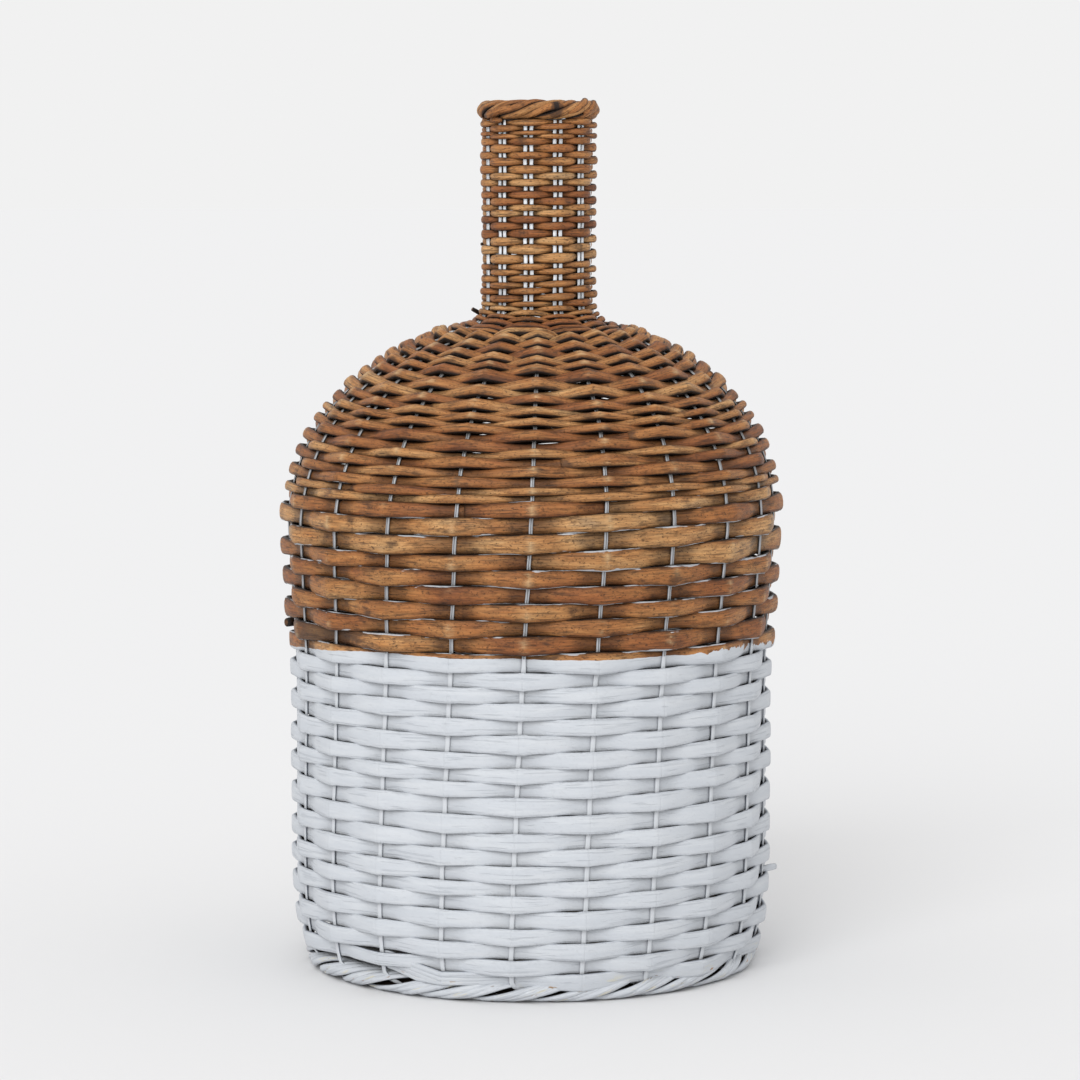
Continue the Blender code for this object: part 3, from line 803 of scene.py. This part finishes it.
def make_rod(parts, weave, start, end, chance, beside=0.0, size=None, butt=0.0):
    """One rod of the spiral, from crossing to crossing.

    A rod of a bundle has its own size and lies beside the bundle's middle. A rod with a butt begins
    that share of the way past the first crossing, over the rod that ends under it.
    """
    band = weave.band[start]
    growth = BUTT_GROWTH_SHARE if butt else 1
    before, phases = rod_samples(weave, start, end)
    if butt:
        kept = (before > start) | (phases > butt)
        before = np.concatenate([[start], before[kept]])
        phases = np.concatenate([[butt], phases[kept]])
    after = np.minimum(before + 1, weave.count - 1)
    flat = np.clip(phases, None, 0)
    run = np.clip(phases, 0, None)
    first_angle = weave.angle[before] + weave.spread[before]
    last_angle = weave.angle[after] - weave.spread[after]
    angle = first_angle + run * (last_angle - first_angle) + flat * 2 * weave.spread[before]
    length = weave.length[before] + run * (weave.length[after] - weave.length[before]) + beside
    thickness = THICKNESSES[band] * (1 + chance.uniform(-WIDTH_SPREADS[band], WIDTH_SPREADS[band]) / 2)
    thickness = (size or thickness) * growth
    room = WIRE_HALF_DEPTH + ROD_ROOM + thickness / 2
    side_before = np.where(weave.outside[before], room, -room)
    side_after = np.where(weave.outside[after], room, -room)
    power = weave.dive[before]
    late = np.where(weave.outside[before], run**power, 1 - (1 - run) ** power)
    ease = late - weave.bend[before] * np.sin(TURN * late) / TURN
    radius, _, _ = WALL.at(length)
    sag = radius * (1 - np.cos((last_angle - first_angle) / 2)) * 4 * run * (1 - run)
    offset = side_before + ease * (side_after - side_before) - sag
    if butt:
        raised = np.where(before == start, (1 - run) / (1 - butt), 0)
        offset = offset + BUTT_LIFT * raised**2
    path = on_wall(angle, length, offset)
    width = weave.width[before] + run * (weave.width[after] - weave.width[before])
    width = size or width * (1 - SQUEEZE_SHARES[band] * np.sin(math.pi * run))
    along = lengths_along(path[0])
    width = width * growth * (1 + WAVER_SHARE * Wave(chance, WAVER_LENGTHS).at(along))
    knot = np.zeros(len(along))
    spot = chance.uniform(*FIRST_KNOTS)
    while spot < along[-1]:
        knot = np.maximum(knot, bell(along - spot, KNOT_LENGTH))
        spot += chance.uniform(*KNOT_GAPS)
    width = width * (1 + KNOT_SWELL_SHARE * knot)
    knot = knot + DARK_KNOT * bell(angle / TURN - STAIN_TURNS, STAIN_SPREAD_TURNS)
    if butt:
        knot = knot + DARK_KNOT * bell(along, KNOT_LENGTH)
    near = np.where(weave.outside[before], run, 1 - run) * (last_angle - first_angle) * radius
    near = near + np.minimum(-flat, 1 + flat) * 2 * weave.spread[before] * radius * (flat < 0)
    bend = bell(near, BEND_MARK_REACH) * BEND_MARK_SHARES[band]
    # depth tells the material how far behind the wall the rod lies, which it paints as shade
    sweep(
        parts, path, thickness, width, chance, ROD_SIDES[band], FLATNESSES[band], lumps=0.035,
        end_share=0.9 if butt else 0.75, tint=chance.uniform(0, 1), bend=bend, knot=knot,
        depth=offset / room,
    )


def make_rod_end(parts, band, angle, height, stretch, reach, share, chance):
    """The end of a rod, which comes from behind the wall and stands off it a little."""
    length = WALL.length_at_height(height)
    along = np.linspace(0, 1, END_STEPS)
    size = THICKNESSES[band] * share
    room = WIRE_HALF_DEPTH + ROD_ROOM + size / 2
    offset = along**END_LEAVING_POWER * (room + reach) - (1 - along) * room
    angles = angle + (along - 1) * stretch / WALL.at(length)[0]
    path = on_wall(angles, np.full(END_STEPS, length), offset)
    tint = chance.uniform(*END_TINTS)
    # The cut is dark on bare rods only
    knot = np.where(along > 1 - 1 / END_STEPS, DARK_KNOT * (band > 0), 0.0)
    width = size * END_WIDTH_SHARE
    sides = ROD_SIDES[band]
    sweep(parts, path, size, width, chance, sides, tint=tint, knot=knot, lumps=0.05, end_share=0.92)


def find_butt(weave, stake, height):
    """The crossing behind a stake that is nearest to a height, and from which the rod comes out."""
    heights = WALL.at(weave.length)[1]
    fits = (weave.member == stake % STAKES) & ~weave.outside & ~weave.in_neck
    return int(np.argmin(np.where(fits, np.abs(heights - height), np.inf)))


def make_weavers(weave, willow, chance):
    butt_chance = np.random.default_rng(SEED + 1)
    butts = [(find_butt(weave, stake, height), way) for stake, way, height in BUTT_ENDS]
    for band, band_name in enumerate(BANDS):
        nodes = sorted(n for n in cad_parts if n.startswith(f"{band_name}_weaver"))
        rods = [rod for rod in weave.rods if weave.band[rod[0]] == band]
        groups = [MeshParts() for _ in nodes]
        for order, (start, end) in enumerate(rods):
            parts = groups[order * len(nodes) // len(rods)]
            make_rod(parts, weave, start, end, chance)
            for index, way in butts:
                if start <= index < end:
                    make_rod(parts, weave, index, index + 2, butt_chance, butt=way)
        if band == 0:
            for rod in range(LEAD_RODS):
                beside = (rod - (LEAD_RODS - 1) / 2) * LEAD_SPACING
                make_rod(groups[0], weave, 0, LEAD_CROSSINGS, chance, beside, LEAD_ROD_SIZE)
        low, top = WALL.at(weave.starts[band : band + 2])[1]
        for end_band, angle, height, *sizes in ROD_ENDS:
            if end_band == band_name:
                group = int((height - low) / (top - low) * len(nodes))
                parts = groups[min(max(group, 0), len(nodes) - 1)]
                make_rod_end(parts, band, angle, height, *sizes, chance)
        for node, parts in zip(nodes, groups):
            parts.finish(node.replace("weaver", "rods"), willow, f"{band_name}_willow", [node])


# Wires


def make_wires(steel, chance):
    lengths = np.arange(WALL.length_at_height(WEAVE_START_HEIGHT), WALL.total, WIRE_STEP)
    radius, _, _ = WALL.at(lengths)
    for stake in range(STAKES):
        sway = WIRE_WANDER * Wave(chance, WIRE_WANDER_LENGTHS).at(lengths)
        angles = stake_angle(stake, lengths) + sway / radius
        points, outwards = on_wall(angles, lengths, 0 * lengths)
        tail = []
        for share in WIRE_TAIL_SHARES:
            turned = angles[0] + WIRE_TAIL_TURN * share**2 / radius[0]
            height = points[0][2] - WIRE_TAIL_DROP * share
            tail.append(place(turned, radius[0] - WIRE_TAIL_DEPTH * share, height))
        points = np.concatenate([np.array(tail), points])
        outwards = np.concatenate([np.repeat(outwards[:1], len(tail), axis=0), outwards])
        bare = smooth_step(points[:, 2], PAINT_HEIGHT - WIRE_STEP, PAINT_HEIGHT)
        width = 2 * (PAINTED_HALF_WIDTH + bare * (WIRE_HALF_WIDTH - PAINTED_HALF_WIDTH))
        parts = MeshParts()
        sizes = (2 * WIRE_HALF_DEPTH, width)
        sweep(parts, (points, outwards), *sizes, chance, WIRE_SIDES, WIRE_FLATNESS, lumps=0.0)
        number = f"{stake + 1:02d}"
        parts.finish(f"wire_{number}", steel, "stake_wire", [f"stake_{number}"])


# Borders and base


def ring_path(border, angle, lay, swell):
    """Points of a rod that twists round a border's ring, and its outward directions."""
    across, up = border.orbits
    radius = border.ring_radius + across * swell * np.cos(lay)
    points = place(angle, radius, border.ring_height + up * swell * np.sin(lay))
    outwards = place(angle, np.cos(lay), 0 * lay) - place(angle, 0 * lay, 0 * lay)
    outwards[:, 2] = np.sin(lay)
    return points, outwards


def make_border(border, willow, chance):
    for strand in range(BORDER_STRANDS):
        parts = MeshParts()
        drift = Wave(chance, border.drift_lengths)
        for rod in range(border.rods):
            start = math.pi + chance.uniform(-border.start_spread, border.start_spread)
            angle = start + np.linspace(0, TURN, border.steps + 1)
            beside = (rod - (border.rods - 1) / 2) * border.rod_lay
            wander = drift.at(angle) + border.own_share * Wave(chance, border.own_lengths).at(angle)
            lay = angle * border.twists + strand * TURN / BORDER_STRANDS
            lay = lay + beside + border.wander * wander
            swell = 1 + border.swell_share * Wave(chance, border.swell_lengths).at(angle)
            path = ring_path(border, angle, lay, swell)
            along = lengths_along(path[0])
            waver = 1 + border.waver_share * Wave(chance, border.waver_lengths).at(along)
            size = 2 * border.rod_radius * chance.uniform(*border.size_shares) * waver
            knot = 0.0
            if border is RIM:
                knot = bell(along - chance.uniform(*RIM_KNOTS), RIM_KNOT_LENGTH)
                turned = np.angle(np.exp(1j * (angle - RIM_KNOT_ANGLE)))
                facing = np.clip(np.cos(lay), 0, 1) ** 2
                knot = knot + RIM_KNOT_STRENGTH * facing * bell(turned, RIM_KNOT_SPREAD)
            size = size * (1 + RIM_KNOT_SWELL_SHARE * knot)
            path[0][:, 2] = np.maximum(path[0][:, 2], size * FLOOR_SHARE)
            sweep(
                parts, path, size, size * border.width_share, chance, border.sides, knot=knot,
                lumps=border.lumps, tint=chance.uniform(*border.tints), depth=1.0,
                facing=border.facing,
            )
        if border is RIM and strand == 0:
            make_rim_ends(parts, chance)
        number = strand + 1
        node = f"{border.name}_strand_{number}"
        parts.finish(f"{border.piece}_{number}", willow, f"{border.name}_willow", [node])


def make_rim_ends(parts, chance):
    """Rod ends that leave the border and are cut off short."""
    share = np.linspace(0, 1, END_STEPS)
    swell = 1 + (RIM_END_REACH_SHARE - 1) * share
    knot = np.where(share == 1, DARK_KNOT, 0.0)
    for first_angle, first_lay, last_angle, last_lay in RIM_ENDS:
        angle = first_angle + share * (last_angle - first_angle)
        path = ring_path(RIM, angle, first_lay + share * (last_lay - first_lay), swell)
        sweep(
            parts, path, RIM_END_SIZE, RIM_END_WIDTH, chance, RIM.sides, lumps=0.05,
            end_share=0.9, tint=chance.uniform(*END_TINTS), knot=knot, depth=1.0, facing=0.25,
        )


def make_base_piece(points, material, chance, name, node):
    parts = MeshParts()
    path = (points, np.tile([0.0, 0.0, -1.0], (len(points), 1)))
    size = 2 * BASE_ROD_RADIUS
    sweep(parts, path, size, size, chance, BASE_SIDES, tint=chance.uniform(0, 1))
    parts.finish(name, material, "base_willow", [node])


def make_base(material, chance):
    low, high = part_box("base_stick_1")
    level = (low.z + high.z) / 2 + BASE_ROD_RADIUS / 2
    spokes = 4 * STICKS_PER_LAYER
    phase = -STAKE_LEAN_ANGLE + math.pi / math.lcm(STAKES, spokes)
    for number in range(1, 2 * STICKS_PER_LAYER + 1):
        layer, index = divmod(number - 1, STICKS_PER_LAYER)
        beside = index - (STICKS_PER_LAYER - 1) / 2
        fan = beside * TURN / spokes
        rise = BASE_ROD_RADIUS * (1 if layer else -1)
        radii = (STICK_END_RADIUS, STICK_LEVEL_RADIUS)
        half = [(radius * math.cos(fan), radius * math.sin(fan), level) for radius in radii]
        half.append((STICK_CROSSING_LENGTH, beside * STICK_SPACING, level + rise))
        path = np.array(half + [(-x, y, z) for x, y, z in reversed(half)])
        x, y, z = cut_corners(path, STICK_CUTS).T
        turned = phase + layer * math.pi / 2
        cosine, sine = math.cos(turned), math.sin(turned)
        points = np.stack([x * cosine - y * sine, x * sine + y * cosine, z], axis=1)
        names = (f"base_rod_{number}", f"base_stick_{number}")
        make_base_piece(points, material, chance, *names)
    pitch = (BASE_END_RADIUS - BASE_START_RADIUS) / BASE_ROWS
    for weaver in range(BASE_WEAVERS):
        crossing = np.arange(0, BASE_ROWS * spokes / BASE_WEAVERS, 1 / BASE_STEPS)
        turns = crossing / spokes
        radius = BASE_START_RADIUS + pitch * (BASE_WEAVERS * turns + weaver)
        angle = phase + turns * TURN
        lift = 2 * BASE_ROD_RADIUS * np.cos((crossing + weaver + 1) * math.pi)
        points = np.stack([radius * np.cos(angle), radius * np.sin(angle), level + lift], axis=1)
        names = (f"base_winding_{weaver + 1}", f"base_weaver_{weaver + 1}")
        make_base_piece(points, material, chance, *names)


# Materials


class Value:
    """A number, vector or colour that a node gives. Arithmetic with it adds nodes."""

    def __init__(self, nodes, socket):
        self.nodes = nodes
        self.socket = socket

    def math(self, operation, other=0.0):
        return self.nodes.add("Math", {0: self, 1: other}, operation=operation)

    def __add__(self, other):
        return self.math("ADD", other)

    def __sub__(self, other):
        return self.math("SUBTRACT", other)

    def __mul__(self, other):
        return self.math("MULTIPLY", other)

    def __pow__(self, power):
        return self.math("POWER", power)

    def __abs__(self):
        return self.math("ABSOLUTE")

    def mask(self, key):
        """0 on one side of a range and a mask's strength on the other, by the table of masks."""
        limits = zip(("From Min", "From Max", "To Max"), MASKS[key])
        inputs = {"Value": self, **dict(limits)}
        return self.nodes.add("MapRange", inputs, interpolation_type="SMOOTHSTEP")


def total(key, values):
    """Adds up values by the table of sums."""
    result, shares = SUMS[key]
    for name, share in shares.items():
        result = values[name] * share + result
    return result


class Nodes:
    """Short ways to add shader nodes to one material."""

    def __init__(self, name):
        self.material = bpy.data.materials.new(name)
        self.material.use_nodes = True
        self.tree = self.material.node_tree
        self.shader = self.tree.nodes["Principled BSDF"]

    def put(self, node, inputs):
        for key, value in inputs.items():
            socket = node.inputs[key]
            if isinstance(value, Value):
                self.tree.links.new(value.socket, socket)
            elif socket.type == "RGBA":
                socket.default_value = (*value, 1.0)
            else:
                socket.default_value = value

    def add(self, kind, inputs, output=0, **settings):
        node = self.tree.nodes.new(f"ShaderNode{kind}")
        for key, value in settings.items():
            setattr(node, key, value)
        self.put(node, inputs)
        return Value(self, node.outputs[output])

    def finish(self, **inputs):
        """Puts values into the shader's inputs and gives the material."""
        self.put(self.shader, {key.replace("_", " "): value for key, value in inputs.items()})
        return self.material

    def attribute(self, name):
        return self.add("Attribute", {}, "Vector", attribute_name=name)

    def position(self):
        return self.add("TexCoord", {}, "Object")

    def split(self, vector):
        node = self.add("SeparateXYZ", {0: vector}).socket.node
        return [Value(self, socket) for socket in node.outputs]

    def noise(self, vector, scale, detail, roughness=0.55):
        inputs = {"Vector": vector, "Scale": scale, "Detail": detail, "Roughness": roughness}
        return self.add("TexNoise", inputs, "Fac")

    def patterns(self, table):
        """Patterns that are drawn out along the grain, through the mask of that name if there is one."""
        grain = self.attribute("grain")
        made = {}
        for name, (along, across, *look) in table.items():
            inputs = {0: grain, 1: (along, across, across)}
            pattern = self.noise(self.add("VectorMath", inputs, operation="MULTIPLY"), 1, *look)
            made[name] = pattern.mask(name) if name in MASKS else pattern
        return made

    def layered(self, colour, *layers):
        """Lays each of the other colours over the first one, where its mask is."""
        for mask, over in layers:
            colour = self.add("Mix", {0: mask, 6: colour, 7: over}, 2, data_type="RGBA")
        return colour

    def shade(self, colour, value):
        """Darkens or lightens a colour."""
        return self.add("VectorMath", {0: colour, "Scale": value}, operation="SCALE")

    def colours(self, value, stops):
        made = self.add("ValToRGB", {"Fac": value})
        ramp = made.socket.node.color_ramp
        while len(ramp.elements) < len(stops):
            ramp.elements.new(0.5)
        for element, (position, colour) in zip(ramp.elements, stops):
            element.position = position
            element.color = (*colour, 1.0)
        return made

    def bump(self, height, distance):
        return self.add("Bump", {"Height": height, "Distance": distance})


def paint_mask(nodes, spot):
    """1 below the paint line, which is highest at the front and ragged at the right."""
    x, y, z = nodes.split(spot)
    values = {name: nodes.noise(spot, *EVEN_PATTERNS[name]) for name in ("wobble", "fray")}
    values["dip"] = y.mask("dip")
    torn = (values["fray"] - FRAY_LEVEL) * x.mask("tear")
    return (total("paint line", values) + torn - z).mask("paint")


def make_willow():
    nodes = Nodes("willow")
    values = nodes.patterns(WILLOW_PATTERNS)
    tint, bend, knot = nodes.split(nodes.attribute("marks"))
    outer, upper, depth = nodes.split(nodes.attribute("side"))
    spot = nodes.position()
    z = nodes.split(spot)[2]
    values.update(tint=tint, knot=knot, neck=z.mask("neck"), low=z.mask("low"))
    # edge is 1 at a rod's top and bottom edges, where it paints shade and gathers stains and paint
    # smears
    values.update(edge=abs(upper) ** EDGE_POWER, crease=bend**CREASE_POWER)
    from_smear = nodes.add("VectorMath", {0: spot, 1: NECK_SMEAR}, "Value", operation="DISTANCE")
    values["near smear"] = from_smear.mask("near smear")

    wood = nodes.shade(
        nodes.colours(total("hue", values), WILLOW_COLOURS), total("brightness", values)
    )
    torn = bend**TORN_POWER * abs(upper).mask("outer face") * values["blots"].mask("torn")
    wood = nodes.layered(
        wood,
        (values["cracks"], BARK_STAIN_AND_SHADE),
        (total("stain", values).mask("stain"), BARK_STAIN_AND_SHADE),
        (knot.mask("knot"), DARK_STAIN_AND_SHADE),
        (values["specks"], BARK_STAIN_AND_SHADE),
        (torn * values["rare"] * total("torn", values), BARE_WOOD),
        # Painted shade where the rod dives behind a stake
        (depth.mask("dive"), BARK_STAIN_AND_SHADE),
        # Painted shade, with some grime, on the rod's sides and back
        (outer.mask("shaded and grimy sides"), DARK_STAIN_AND_SHADE),
    )

    foot = z.mask("foot")
    smear = total("smear", values).mask("smear") * outer.mask("smeared side")
    paint = paint_mask(nodes, spot) * outer.mask("painted side")
    cover = paint.math("MAXIMUM", smear)
    cover = cover - cover * values["chips"] * foot
    values["cover"] = cover
    white = nodes.layered(
        PAINT,
        (values["brushing"], PAINT_SHADE),
        # Painted shade at the painted rod's sides and back
        (outer.mask("paint in shade"), PAINT_CREVICE_SHADE),
        (values["lines"], PAINT_LINES),
        (values["wear"] * foot, PALE_WILLOW),
    )
    relief = total("grain relief", values)
    relief = relief - relief * cover * FILLED_SHARE + total("other relief", values)
    return nodes.finish(
        Base_Color=nodes.layered(wood, (cover, white)),
        Specular_IOR_Level=WILLOW_GLOSS,
        Roughness=total("roughness", values),
        Normal=nodes.bump(relief, WOOD_RELIEF),
    )


def make_wire_material():
    nodes = Nodes("wire")
    values = nodes.patterns(WIRE_PATTERNS)
    outer, upper, _ = nodes.split(nodes.attribute("side"))
    spot = nodes.position()
    z = nodes.split(spot)[2]
    paint = paint_mask(nodes, spot)
    # Bumped groove, darkened down the middle: a painted dark reflection on steel and painted shade on
    # paint
    groove = abs(upper).mask("groove") * outer.mask("grooved side") * z.mask("grooved height")
    groove = groove - groove * paint * FILLED_GROOVE_AND_REFLECTION_SHARE
    values.update(paint=paint, groove=groove)
    # Steel's colour by height, near white in the neck as a painted reflection
    steel = nodes.colours(z.mask("steel"), STEEL_AND_REFLECTION_COLOURS)
    steel = nodes.shade(steel, total("steel brightness", values))
    steel = nodes.layered(steel, (groove * STEEL_DARK_REFLECTION_SHARE, STEEL_DARK_REFLECTION))
    white = nodes.layered(PAINT, (groove * PAINT_GROOVE_SHADE_SHARE, PAINT_SHADE))
    # Painted shade on the wire's sides and back, darker on bare steel than on paint
    side = nodes.layered(DARK_STAIN_AND_SHADE, (paint, PAINT_CREVICE_SHADE))
    return nodes.finish(
        Base_Color=nodes.layered(steel, (paint, white), (outer.mask("wire's shaded side"), side)),
        Metallic=total("steel shine", values),
        Roughness=total("steel roughness", values),
        Normal=nodes.bump(total("steel relief", values), FINE_RELIEF),
    )


def make_base_material():
    nodes = Nodes("base_willow")
    values = nodes.patterns(BASE_PATTERNS)
    fibres = values["fibres"]
    spray = nodes.noise(nodes.position(), *EVEN_PATTERNS["spray"]).mask("spray")
    return nodes.finish(
        Base_Color=nodes.layered(nodes.colours(fibres, BASE_COLOURS), (spray, PAINT)),
        Roughness=total("base roughness", values),
        Normal=nodes.bump(fibres, FINE_RELIEF),
    )


# Stage


def make_stage():
    bpy.ops.mesh.primitive_plane_add(size=FLOOR_SIZE)
    floor = bpy.context.object
    floor.name = "floor"
    look = {"Base_Color": FLOOR_COLOUR, "Roughness": FLOOR_ROUGHNESS, "Specular_IOR_Level": 0.0}
    floor.data.materials.append(Nodes("pale_floor").finish(**look))
    world = bpy.data.worlds.new("studio")
    world.use_nodes = True
    background = world.node_tree.nodes["Background"]
    background.inputs["Color"].default_value = SKY_COLOUR
    background.inputs["Strength"].default_value = SKY_STRENGTH
    bpy.context.scene.world = world
    light = bpy.data.lights.new("key", "SUN")
    light.angle = KEY_SIZE_ANGLE
    light.energy = KEY_STRENGTH
    lamp = bpy.data.objects.new("key", light)
    lamp.rotation_euler = (-Vector(KEY_FROM)).to_track_quat("-Z", "Y").to_euler()
    bpy.context.scene.collection.objects.link(lamp)


def make_camera():
    data = bpy.data.cameras.new("camera")
    data.lens = LENS
    camera = bpy.data.objects.new("camera", data)
    camera.location = (CAMERA_SIDE, -CAMERA_DISTANCE, CAMERA_HEIGHT)
    aim = Vector((0, CAMERA_DISTANCE, AIM_HEIGHT - CAMERA_HEIGHT))
    camera.rotation_euler = aim.to_track_quat("-Z", "Y").to_euler()
    bpy.context.scene.collection.objects.link(camera)
    bpy.context.scene.camera = camera


def main():
    chance = np.random.default_rng(SEED)
    weave = Weave(chance)
    willow = make_willow()
    make_weavers(weave, willow, chance)
    make_wires(make_wire_material(), chance)
    make_border(RIM, willow, chance)
    make_border(FOOT, willow, chance)
    make_base(make_base_material(), chance)
    make_stage()
    make_camera()
    bpy.context.scene.view_settings.view_transform = "Standard"


main()
